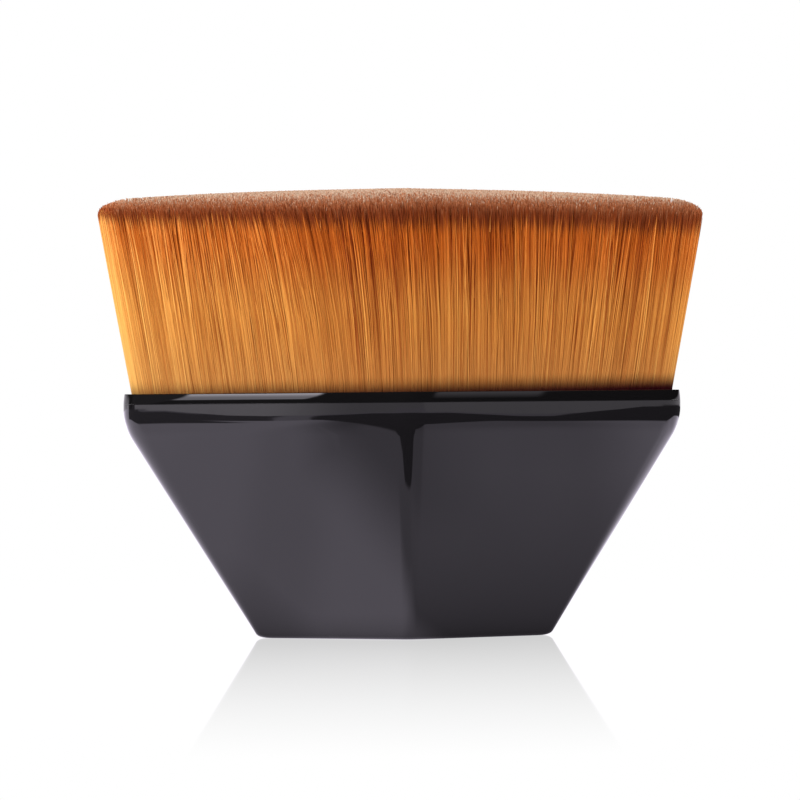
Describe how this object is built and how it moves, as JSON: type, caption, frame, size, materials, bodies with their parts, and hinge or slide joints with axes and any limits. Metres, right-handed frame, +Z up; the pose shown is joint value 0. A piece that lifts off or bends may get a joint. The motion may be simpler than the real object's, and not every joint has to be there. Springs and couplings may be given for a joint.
{
  "type": "foundation brush",
  "caption": "Short diamond-plan makeup brush: tapered gloss handle with a flat base, flanged ferrule cup, and a dense flared flat-top bundle of golden fibre with brown tips.",
  "frame": {"origin": "centre of the handle's flat base, which is also the bottom centre of the whole box", "axes": "+X along the brush's width, from tip to tip of its diamond plan; +Y towards the back ridge, so the front ridge faces -Y; +Z up, from the base to the bristle top"},
  "size_m": [0.0602, 0.0334, 0.0444],
  "materials": {
    "handle_gloss_black": "high-gloss moulded black, faintly warm",
    "ferrule_gloss_black": "high-gloss black flange and cup",
    "amber_resin": "cured clear amber resin, hidden under the bristles",
    "bristle_fibre": "fine crimped synthetic fibre, golden orange with reddish-brown tips"
  },
  "bodies": {
    "root": {"handle_shell": "handle_gloss_black", "ferrule": "ferrule_gloss_black", "root_resin": "amber_resin", "bristle_bundle": "bristle_fibre"}
  },
  "joints": []
}
